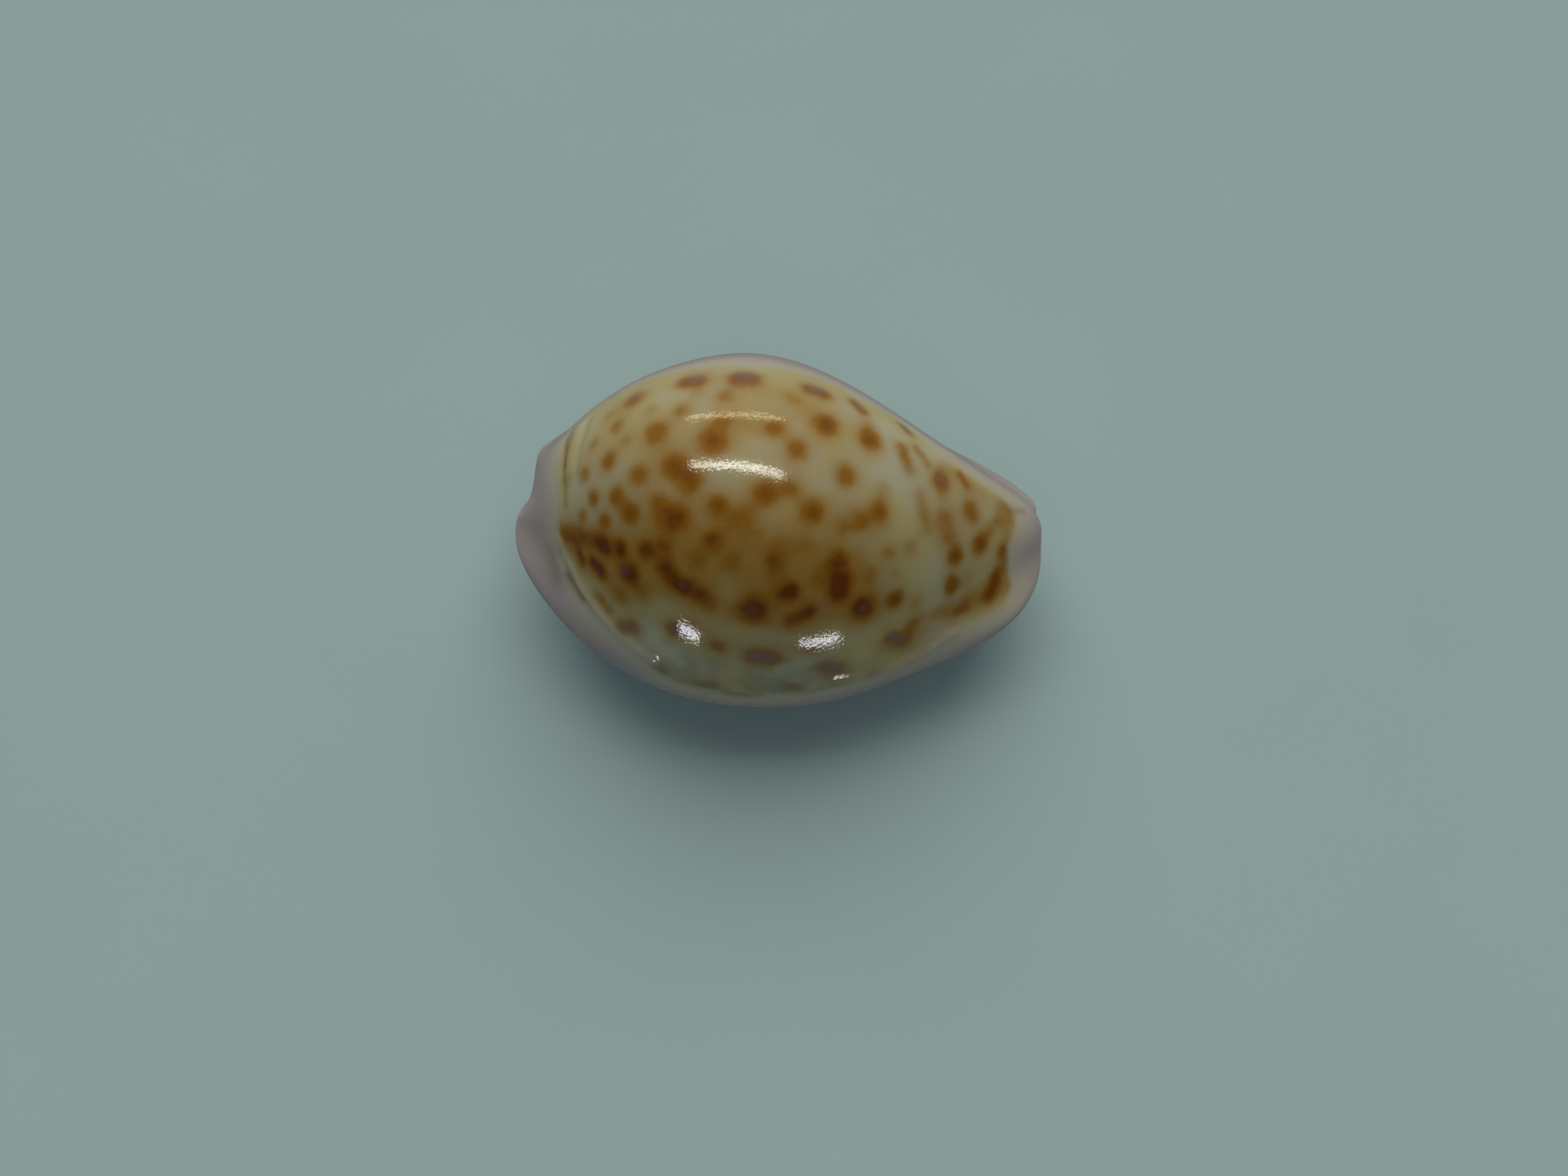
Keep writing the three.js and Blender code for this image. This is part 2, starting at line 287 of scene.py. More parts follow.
# Brown spots of the back: x, g, radius, strength. A strong spot has a dark heart, a weak one is only tan.
BACK_SPOTS = [
    (-7.9, 3.2, 0.62, 0.72), (-6.5, 0.4, 0.68, 0.72), (-8.7, 1.4, 0.48, 0.5), (-8.1, 0.3, 0.4, 0.45),
    (-9.1, -0.6, 0.55, 0.7), (-7.4, -1.8, 0.58, 0.68), (-5.5, -1.6, 0.66, 0.78), (-10.5, -0.9, 0.45, 0.58),
    (-8.6, -2.7, 0.52, 0.72), (-9.9, -2.4, 0.44, 0.68), (-6.4, -3.3, 0.55, 0.68), (-7.8, -3.7, 0.6, 0.78),
    (-5.4, -4.2, 0.75, 0.8), (-6.2, -4.3, 0.5, 0.5), (-9.2, -3.8, 0.46, 0.72), (-10, 0.6, 0.38, 0.45),
    (-10.6, -3.1, 0.38, 0.5), (-3.05, 2.6, 0.5, 0.45), (-5.2, 1.7, 0.5, 0.5), (-3.1, 0.9, 0.55, 0.55),
    (-3.5, -0.2, 0.75, 0.75), (-0.4, 0.7, 0.5, 0.58), (-9.2, 2.4, 0.4, 0.35), (-4.4, 2.9, 0.4, 0.3),
    (0.55, 2.7, 0.5, 0.42), (2.25, 1.3, 0.64, 0.74), (0.75, -0.5, 0.58, 0.66), (3.3, -1.4, 0.58, 0.7),
    (-4.7, -2.3, 0.68, 0.82), (-3.3, -3.6, 0.56, 0.8), (-0.8, -2.9, 0.68, 0.82), (0.4, -2.5, 0.55, 0.58),
    (1.6, -3.6, 0.62, 0.76), (3.1, -4, 0.5, 0.5), (-2, -4.4, 0.75, 0.62), (4.6, 1, 0.62, 0.72),
    (8.6, -0.2, 0.62, 0.74), (10.3, -1.3, 0.68, 0.7), (4.1, -3.6, 0.52, 0.64), (5, -2.9, 0.5, 0.55),
    (9.4, -4.1, 0.5, 0.82), (10.9, -2.9, 0.55, 0.86), (12.3, -2.7, 0.36, 0.6), (5.6, -4.9, 0.45, 0.52),
    (6.8, -4.4, 0.45, 0.4), (10.3, -5.1, 0.4, 0.3), (-6.9, 2, 0.4, 0.25), (6, -5.9, 0.35, 0.25),
]

# Spots of the labral side, where the pattern is densest and darkest.
SIDE_SPOTS = [
    (-9.3, -5.1, 0.5, 0.86), (-8.4, -5.4, 0.48, 0.86), (-10, -6, 0.42, 0.8), (-9.6, -6.6, 0.52, 0.9),
    (-8, -6.9, 0.72, 0.94), (-7, -5.7, 0.55, 0.74), (-6.1, -5.6, 0.5, 0.62), (-6, -6.8, 0.5, 0.76),
    (-3.5, -5.4, 0.52, 0.72), (-4.4, -6.4, 0.55, 0.5), (-2.5, -6.5, 0.6, 0.5), (-0.4, -6.5, 0.6, 0.5),
    (0.4, -7.9, 0.62, 0.9), (-1.5, -9.3, 0.84, 0.93), (3, -7.6, 0.62, 0.82), (4.4, -8.2, 0.72, 0.92),
    (4.7, -6.3, 0.5, 0.52), (6, -7.5, 0.52, 0.85), (9.2, -5.5, 0.42, 0.62), (-3.3, -11.8, 0.42, 0.62),
    (7.2, -8.9, 0.45, 0.4), (-0.3, -5.5, 0.55, 0.45), (1.2, -5.4, 0.5, 0.4), (7.2, -7.4, 0.45, 0.34),
    (-8.5, -8.2, 0.5, 0.45), (-7.2, -8.2, 0.5, 0.38), (1.6, -11.3, 0.55, 0.6), (-10.5, -8.4, 0.3, 0.5),
]

# Spots drawn out into streaks: the places they run through, radius, strength.
STREAKS = [
    ([(-5, 4.1), (-4.4, 4.1)], 0.58, 0.72),
    ([(-2.3, 4.1), (-1.7, 4.1)], 0.6, 0.76),
    ([(1.5, 3.95), (2.1, 3.8)], 0.48, 0.68),
    ([(3.9, 3.8), (4.3, 3.2)], 0.36, 0.6),
    ([(4.6, 1.2), (4.6, 2)], 0.45, 0.45),
    ([(6.6, 3.2), (6.9, 2.7)], 0.3, 0.6),
    ([(6.4, 1.1), (6.7, 0)], 0.42, 0.55),
    ([(7.3, 1.4), (7.8, 0.6)], 0.3, 0.45),
    ([(9.8, 0.6), (10.1, 0.2)], 0.3, 0.6),
    ([(5.1, -2.5), (5.3, -1.7)], 0.42, 0.3),
    ([(7.3, -1.5), (7.7, -3)], 0.38, 0.45),
    ([(8.8, -2.3), (8.95, -3)], 0.72, 0.58),
    ([(11.5, -1.9), (11.9, -1.4)], 0.42, 0.42),
    ([(12.2, -3.3), (12.2, -3.8)], 0.36, 0.38),
    ([(-11.7, -3.8), (-11, -4.1), (-10.1, -4.5), (-9.5, -4.9)], 0.5, 0.7),
    ([(-10.9, -5), (-10.7, -5.7)], 0.34, 0.75),
    ([(-5.6, -7.4), (-5.1, -7.8)], 0.6, 0.86),
    ([(-4.1, -8.5), (-3.8, -8.8)], 0.5, 0.74),
    ([(0.6, -9.6), (1.5, -9)], 0.48, 0.9),
    ([(3, -5.8), (3.1, -6.7)], 0.52, 0.72),
    ([(1.9, -7), (2.5, -6.4)], 0.5, 0.4),
    ([(12, -4.5), (11.9, -5), (11.6, -5.7)], 0.46, 0.76),
    ([(9.5, -5.8), (9.3, -6)], 0.42, 0.62),
    ([(10.2, -6.8), (9.8, -7.2)], 0.4, 0.5),
    ([(8.9, -7.7), (8.5, -7.9)], 0.32, 0.34),
    ([(-9.8, -8.2), (-9.3, -9.1)], 0.36, 0.5),
    ([(7.4, -11.4), (8, -10.6)], 0.35, 0.35),
]

# Spots with a brown ring round a grey-lilac heart: x, g, half the length, radius, strength of the ring.
RINGED_SPOTS = [
    (-8.2, -10.5, 0.4, 0.5, 0.6), (-5.3, -10.7, 0.5, 0.5, 0.75), (-0.9, -12.4, 0.55, 0.6, 0.8),
    (2.8, -12.7, 0.5, 0.55, 0.62), (6.3, -10, 0.45, 0.5, 0.66), (-3.9, -15, 0.5, 0.55, 0.4),
    (-6.8, -13.8, 0.4, 0.5, 0.35), (0.8, -14.7, 0.35, 0.45, 0.3), (5.2, -13.1, 0.3, 0.4, 0.3),
]

# Lilac hearts and veils: x, g, radius, strength.
LILAC_HEARTS = [
    (-4.6, 4.4, 0.5, 0.6), (-1.9, 4.4, 0.55, 0.6), (1.8, 4.1, 0.45, 0.6), (-7.9, 3.4, 0.35, 0.3),
    (4.1, 3.5, 0.28, 0.5), (6.75, 2.95, 0.3, 0.75), (8.6, -0.1, 0.3, 0.45), (-9.3, -5.3, 0.16, 0.15),
    (-9.8, -6.5, 0.2, 0.3), (-8.2, -6.8, 0.22, 0.45), (-5.1, -7.8, 0.2, 0.3), (-3.7, -8.9, 0.22, 0.25),
    (-1.5, -9.3, 0.26, 0.2), (4.4, -8.3, 0.26, 0.25), (10, -6.7, 0.26, 0.35), (-9.2, 5, 0.25, 0.8),
    (1.6, -11.3, 0.25, 0.4), (-10.4, -11.4, 0.6, 0.15), (-2.4, -11.9, 0.6, 0.2), (-4.2, -13.5, 0.7, 0.2),
    (-6.4, -13.2, 0.6, 0.2), (2.2, -8.6, 0.4, 0.15), (-6.6, -10, 0.6, 0.2), (-7.4, -9.6, 0.5, 0.2),
]

# Broad golden-tan stains between the spots: places, radius, strength.
STAINS = [
    ([(-1.9, 0.8), (-0.2, 0.9)], 0.6, 0.55),
    ([(-11.2, -4.6), (-8.4, -6.2)], 1.1, 0.95),
    ([(-6.8, -5.8), (-4.2, -8.4)], 1.1, 0.8),
    ([(-4.5, -6.2), (-2.2, -6.6)], 1, 0.6),
    ([(-0.8, -6.2), (3.2, -6.4)], 1.3, 0.95),
    ([(-0.4, -7.8), (4.4, -8)], 1.1, 0.85),
    ([(-2.2, -9.2), (1.6, -9.2)], 0.9, 0.5),
    ([(-6.4, -4.6), (-2, -5)], 0.9, 0.4),
    ([(-6, -0.8), (-3.4, 0.4)], 1, 0.22),
    ([(1.4, -3.9), (5, -3.3)], 0.8, 0.4),
    ([(-8.8, -8.4), (-6.6, -7.6)], 0.8, 0.45),
    ([(-5.4, -10.2), (-3.2, -11.6)], 0.8, 0.35),
    ([(7.6, -8.6), (10.4, -6.4)], 0.7, 0.55),
    ([(11.2, -5.8), (12.6, -4.6)], 0.7, 0.75),
    ([(5.8, -10.8), (9.2, -8.6)], 0.7, 0.4),
    ([(12.2, -0.6), (12.7, -3.6)], 0.4, 0.75),
    ([(12.55, -0.2), (12.75, -0.9)], 0.42, 0.95),
    ([(8.8, 0.6), (12.3, -0.2)], 0.5, 0.35),
    ([(-1, 2.4), (1.8, 2)], 1.6, 0.35),
    ([(-11.4, 2.4), (-11.5, -0.6)], 0.5, 0.5),
]

# Creases and ridges of the enamel.
FOOT_LINE = [(-11.9, 2), (-11.8, 0.9), (-11.85, 0)]
FOOT_LINE_FADING = [(-11.85, 0), (-11.7, -1.1), (-11.65, -2.2)]
SPIRE_FOLD = [(-11.1, 2.6), (-11.3, 1.4), (-11.5, -0.4)]
SPIRE_CREASE = [(-10.4, 3), (-10.6, 1.7), (-10.9, -0.7)]
COAT_RIDGE = [
    (-12, -4.1), (-11.7, -5.2), (-11.2, -6.2), (-10.9, -7.2), (-10.4, -8.2), (-9.9, -9.1), (-9.2, -10.2),
    (-8.5, -11.2), (-7.7, -12.1), (-6.8, -13),
]
RIDGE_SHADOW = [(-12.1, -5), (-11.7, -6.2), (-11.2, -7.3), (-10.7, -8.3)]
# A brown line along the groove outside the coat ridge: painted shade in the groove.
RIDGE_GROOVE_SHADE = [(-11.7, -6.3), (-11.1, -7.5), (-10.85, -8)]
RIM_STAIN = [(-12.7, -4.6), (-12.3, -6.2)]
NOTCH_LINE = [(12.9, -0.4), (13.8, 0)]
SIDE_CREASE = [(3, -13.8), (5, -13.1), (6.5, -12), (8, -10.6), (9, -9.3), (9.7, -8.6)]

# The outline of the spotted coat. Lilac-white callus covers everything outside it.
COAT = [
    (-12, 3), (-10.6, 4.3), (-8, 5.3), (-4, 5.7), (2, 5.6), (4, 4.5), (6, 3.9), (8, 2.1), (10, 1), (12, 0.3),
    (13.2, -0.2), (13.1, -1.4), (12.6, -2.4), (12.7, -3.6), (13, -4.6), (12.5, -5.9), (11.2, -7), (9.8, -8.3),
    (8.4, -9.9), (6.8, -11.6), (5, -13), (2, -15), (-2, -16.2), (-6, -14.6), (-7.7, -12.2), (-9.2, -10.2),
    (-10, -9), (-11, -7.2), (-11.4, -6), (-12.1, -4.4), (-12, -2), (-12.2, 0),
]


def mark(points, path, radius, strength, flatness=2):
    """A soft-edged mark, half as strong at its radius as at its heart; flatness widens its heart."""
    return strength * 0.5 ** ((distance_to(path, points) / radius) ** flatness)


def together(parts):
    """Joins marks so that neighbours run into each other without growing past full strength."""
    clear = 1.0
    for part in parts:
        clear = clear * (1 - part)
    return 1 - clear


def scattered_spots():
    """Faint ringed spots for the columellar side, in loose rows, each a little out of place."""
    random = np.random.default_rng(11)
    spots = []
    for g in SIDE_ROWS:
        for x in np.arange(-8.5, 7, SIDE_PITCH):
            shift = random.uniform(-0.7, 0.7, 2)
            half_length = random.uniform(0.15, 0.5)
            radius = random.uniform(0.45, 0.6)
            along = x + shift[0] + (g - SIDE_ROWS[0]) * 0.4
            spots.append((along, g + shift[1], half_length, radius, 0.5))
    return spots


def marking_fields(points):
    """Every marking as a field from 0 to 1 over the outer face."""
    x = np.broadcast_to(x_rows[:, None], points.shape[:-1])
    g = girth_from_crown
    ringed = RINGED_SPOTS + scattered_spots()
    plain = [([(a, b)], SPREAD * r, s) for a, b, r, s in BACK_SPOTS + SIDE_SPOTS]
    plain += [(path, SPREAD * r, s) for path, r, s in STREAKS]
    spots = [mark(points, path, r, s, SPOT_FLATNESS) for path, r, s in plain]
    rings = [([(a - RING_RUN * l, b), (a + RING_RUN * l, b)], r, s) for a, b, l, r, s in ringed]
    spots += [mark(points, path, RING_SIZE * r, s) for path, r, s in rings]
    halos = [mark(points, path, HALO_SIZE * r, HALO_STRENGTH * s) for path, r, s in plain]
    hearts = [mark(points, [(a, b)], r, s) for a, b, r, s in LILAC_HEARTS]
    hearts += [mark(points, path, RING_HEART_SIZE * r, RING_HEART_STRENGTH) for path, r, s in rings]
    stains = [mark(points, path, r, s) for path, r, s in STAINS]
    lines = [
        mark(points, FOOT_LINE, 0.2, 0.6),
        mark(points, FOOT_LINE_FADING, 0.22, 0.35),
        # painted shade along the coat ridge's groove
        mark(points, RIDGE_GROOVE_SHADE, 0.24, 0.6),
        mark(points, RIM_STAIN, 0.55, 0.3),
        mark(points, NOTCH_LINE, 0.24, 0.26),
        mark(points, SPIRE_CREASE, 0.16, 0.2),
    ]
    edge = distance_to(COAT + COAT[:1], points)
    outside = np.where(inside(COAT, x, g), -edge, edge)
    # The veil darkens both flanks towards the base: partly the grey-olive tone there, partly painted shade on
    # the low sides.
    veil_and_shade = 0.7 * step(-g, 12.2, 2.4) + 0.4 * step(g, 7, 1.2)
    return {
        "spot": together(spots),
        "heart": together(hearts),
        "stain": together(stains),
        "halo": together(halos),
        "line": together(lines),
        "ridge": mark(points, COAT_RIDGE, 0.2, 0.75),
        "callus": step(outside, 0.1, 0.28),
        "rim": step(outside, 1.3, 0.6),
        "veil_and_shade": np.clip(veil_and_shade, 0, 1),
    }


def relief(points):
    """How far the enamel stands proud of the even surface, in millimetres."""
    ripple = np.zeros(points.shape[:-1])
    for k, direction in enumerate([(0.9, 0.3, 0.4), (-0.3, 0.8, 0.6), (0.5, -0.7, 0.7), (0.2, 0.9, -0.5)]):
        ripple += np.sin(points @ np.array(direction) * (0.9 + 0.37 * k) + 1.7 * k)
    return (
        0.006 * ripple
        - 0.11 * bump(distance_to(FOOT_LINE, points), 0.28)
        - 0.05 * bump(distance_to(FOOT_LINE_FADING, points), 0.3)
        + 0.12 * bump(distance_to(SPIRE_FOLD, points), 0.55)
        - 0.035 * bump(distance_to(SPIRE_CREASE, points), 0.34)
        + 0.14 * bump(distance_to(COAT_RIDGE, points), 0.26)
        - 0.14 * bump(distance_to(RIDGE_SHADOW, points), 0.24)
        - 0.02 * bump(distance_to(NOTCH_LINE, points), 0.22)
        + 0.12 * bump(distance_to(SIDE_CREASE, points), 0.3)
    )


def tooth_reach():
    """Where the base is ribbed by teeth: from the slit outwards, further on the labral side."""
    girth = np.abs(v_steps)[None, :]
    x = x_rows[:, None]
    starts = np.where(v_steps < 0, LABRAL_TEETH_FROM, COLUMELLAR_TEETH_FROM)[None, :]
    along = step(x, TOOTHED_FROM, TOOTHED_FADE) * step(-x, -TOOTHED_TO, TOOTHED_FADE)
    return step(girth, starts, 0.035) * along


# ---------------------------------------------------------------- the shell

def shell_mesh():
    """One closed skin: the outer face, the cavity wall, and the strips that join them at the end rims."""
    girth_count = GIRTH_STEPS + 1
    inner_count = GIRTH_STEPS // INNER_EVERY + 1
    outer_index = np.arange((STATIONS + 1) * girth_count).reshape(STATIONS + 1, girth_count)
    inner_index = np.empty((STATIONS + 1, inner_count), int)
    inner_index[:, 0] = outer_index[:, 0]
    inner_index[:, -1] = outer_index[:, -1]
    inner_index[0] = outer_index[0, ::INNER_EVERY]
    inner_index[-1] = outer_index[-1, ::INNER_EVERY]
    free = (STATIONS - 1) * (inner_count - 2)
    inner_index[1:-1, 1:-1] = outer_index.size + np.arange(free).reshape(STATIONS - 1, inner_count - 2)
    inner_points = inner_skin[1:-1, INNER_EVERY:-INNER_EVERY:INNER_EVERY].reshape(-1, 3)
    points = np.concatenate([outer_skin.reshape(-1, 3), inner_points])

    def quads(index):
        corners = [index[:-1, :-1], index[1:, :-1], index[1:, 1:], index[:-1, 1:]]
        return np.stack(corners, -1).reshape(-1, 4).tolist()

    faces = quads(outer_index) + [face[::-1] for face in quads(inner_index[1:-1])]
    for j in range(inner_count - 1):
        rim = list(range(j * INNER_EVERY, (j + 1) * INNER_EVERY + 1))
        rear = [int(outer_index[0, k]) for k in rim]
        front = [int(outer_index[-1, k]) for k in rim[::-1]]
        faces.append(rear + [int(inner_index[1, j + 1]), int(inner_index[1, j])])
        faces.append(front + [int(inner_index[-2, j]), int(inner_index[-2, j + 1])])
    mesh = bpy.data.meshes.new("cowrie_shell_skin")
    mesh.from_pydata((points * MM).tolist(), [], faces)
    mesh.update()
    return mesh, outer_index.size


def add_field(mesh, name, outer_values, inner_value):
    values = np.full(len(mesh.vertices), inner_value, np.float32)
    values[:outer_values.size] = outer_values.ravel()
    mesh.attributes.new(name, "FLOAT", "POINT").data.foreach_set("value", values)


def shape_skin(mesh, outer_count):
    """Lays the relief on the outer face, centres the shell on its box and levels what meets the floor."""
    points = np.empty(len(mesh.vertices) * 3)
    normals = np.empty(len(mesh.vertices) * 3)
    mesh.vertices.foreach_get("co", points)
    mesh.vertices.foreach_get("normal", normals)
    points = points.reshape(-1, 3)
    normals = normals.reshape(-1, 3)
    points[:outer_count] += relief(outer_skin).reshape(-1, 1) * MM * normals[:outer_count]
    points[:, :2] -= (points[:, :2].max(0) + points[:, :2].min(0)) / 2
    points[:, 2] = np.maximum(points[:, 2], 0)
    mesh.vertices.foreach_set("co", points.ravel())
    mesh.update()


def add_node(tree, kind, links=None, gives=0, **settings):
    """Adds a node, sets its settings, fills or links the sockets named in links, and gives one output."""
    node = tree.nodes.new(kind)
    for name, value in settings.items():
        setattr(node, name, value)
    for socket, source in (links or {}).items():
        if isinstance(source, bpy.types.NodeSocket):
            tree.links.new(source, node.inputs[socket])
        else:
            node.inputs[socket].default_value = source
    return node.outputs[gives] if node.outputs else None


def tooth_tree(enamel):
    """Geometry nodes that sink a groove between each pair of teeth, and leave the rounded ribs standing."""
    tree = bpy.data.node_groups.new("teeth_along_the_lips", "GeometryNodeTree")
    tree.interface.new_socket("Geometry", in_out="INPUT", socket_type="NodeSocketGeometry")
    for name, kind in [
        ("Pitch", "NodeSocketFloat"),
        ("Depth", "NodeSocketFloat"),
        ("First Groove", "NodeSocketFloat"),
        ("Unevenness", "NodeSocketFloat"),
        ("Seed", "NodeSocketInt"),
    ]:
        tree.interface.new_socket(name, in_out="INPUT", socket_type=kind)
    tree.interface.new_socket("Geometry", in_out="OUTPUT", socket_type="NodeSocketGeometry")
    skin, pitch, depth, first_groove, unevenness, seed = [
        add_node(tree, "NodeGroupInput", gives=name)
        for name in ("Geometry", "Pitch", "Depth", "First Groove", "Unevenness", "Seed")
    ]
    position = add_node(tree, "GeometryNodeInputPosition")
    reach = add_node(tree, "GeometryNodeInputNamedAttribute", {"Name": "tooth_reach"}, data_type="FLOAT")
    waver = add_node(
        tree, "ShaderNodeTexNoise", {"Vector": position, "W": seed, "Scale": 260.0, "Detail": 1.0},
        noise_dimensions="4D",
    )
    stray = add_node(tree, "ShaderNodeMath", {0: waver, 1: 0.5}, operation="SUBTRACT")
    along = add_node(tree, "ShaderNodeSeparateXYZ", {0: position}, gives="X")
    from_first = add_node(tree, "ShaderNodeMath", {0: along, 1: first_groove}, operation="SUBTRACT")
    even = add_node(tree, "ShaderNodeMath", {0: from_first, 1: pitch}, operation="DIVIDE")
    turns = add_node(tree, "ShaderNodeMath", {0: stray, 1: unevenness, 2: even}, operation="MULTIPLY_ADD")
    angle = add_node(tree, "ShaderNodeMath", {0: turns, 1: 2 * math.pi}, operation="MULTIPLY")
    wave = add_node(tree, "ShaderNodeMath", {0: angle}, operation="COSINE")
    lifted = add_node(tree, "ShaderNodeMath", {0: wave, 1: 0.5, 2: 0.5}, operation="MULTIPLY_ADD")
    groove = add_node(tree, "ShaderNodeMath", {0: lifted, 1: 1.6}, operation="POWER")
    sunk = add_node(tree, "ShaderNodeMath", {0: groove, 1: depth}, operation="MULTIPLY")
    reached = add_node(tree, "ShaderNodeMath", {0: sunk, 1: reach}, operation="MULTIPLY")
    inward = add_node(tree, "ShaderNodeMath", {0: reached, 1: -1.0}, operation="MULTIPLY")
    normal = add_node(tree, "GeometryNodeInputNormal")
    offset = add_node(tree, "ShaderNodeVectorMath", {"Vector": normal, "Scale": inward}, operation="SCALE")
    cut = add_node(tree, "GeometryNodeSetPosition", {"Geometry": skin, "Offset": offset})
    solid = add_node(tree, "GeometryNodeRealizeInstances", {"Geometry": cut})
    finished = add_node(tree, "GeometryNodeSetMaterial", {"Geometry": solid, "Material": enamel})
    add_node(tree, "NodeGroupOutput", {"Geometry": finished})
    return tree


def toothed(rough, enamel, name):
    """The shell with its teeth cut, as a plain mesh with no modifier left."""
    tree = tooth_tree(enamel)
    modifier = rough.modifiers.new("teeth", "NODES")
    modifier.node_group = tree
    sockets = {item.name: item.identifier for item in tree.interface.items_tree if item.in_out == "INPUT"}
    modifier[sockets["Pitch"]] = TOOTH_PITCH * MM
    modifier[sockets["Depth"]] = TOOTH_DEPTH * MM
    modifier[sockets["First Groove"]] = TOOTHED_FROM * MM
    modifier[sockets["Unevenness"]] = TOOTH_STRAY
    modifier[sockets["Seed"]] = TOOTH_SEED
    depsgraph = bpy.context.evaluated_depsgraph_get()
    mesh = bpy.data.meshes.new_from_object(rough.evaluated_get(depsgraph), depsgraph=depsgraph)
    bpy.data.objects.remove(rough)
    mesh.name = name
    piece = bpy.data.objects.new(name, mesh)
    bpy.context.scene.collection.objects.link(piece)
    return piece


def linear(code, alpha=1.0):
    """An sRGB hex colour as linear light."""
    parts = [int(code[i:i + 2], 16) / 255 for i in (1, 3, 5)]
    return [p / 12.92 if p <= 0.04045 else ((p + 0.055) / 1.055) ** 2.4 for p in parts] + [alpha]


# ---------------------------------------------------------------- finishes

CREAM = "#cfc48e"
MILK = "#cfd0b6"
TAN = "#b58d45"
BROWN = "#a87420"
DARK_BROWN = "#7c3d08"
HEART_LILAC = "#8d7d80"
# Grey-olive of the low flanks, which also serves as painted shade there.
VEIL_AND_PAINTED_SHADE = "#918b76"
CALLUS_INNER = "#cfc8b6"
CALLUS_OUTER = "#bbafb6"
# Brown of the lines, which is also the painted shade in the groove beside the coat ridge.
LINE_BROWN = "#7a5522"
CARD_DARK = "#b3cfd0"
CARD_PALE = "#b7d3d4"


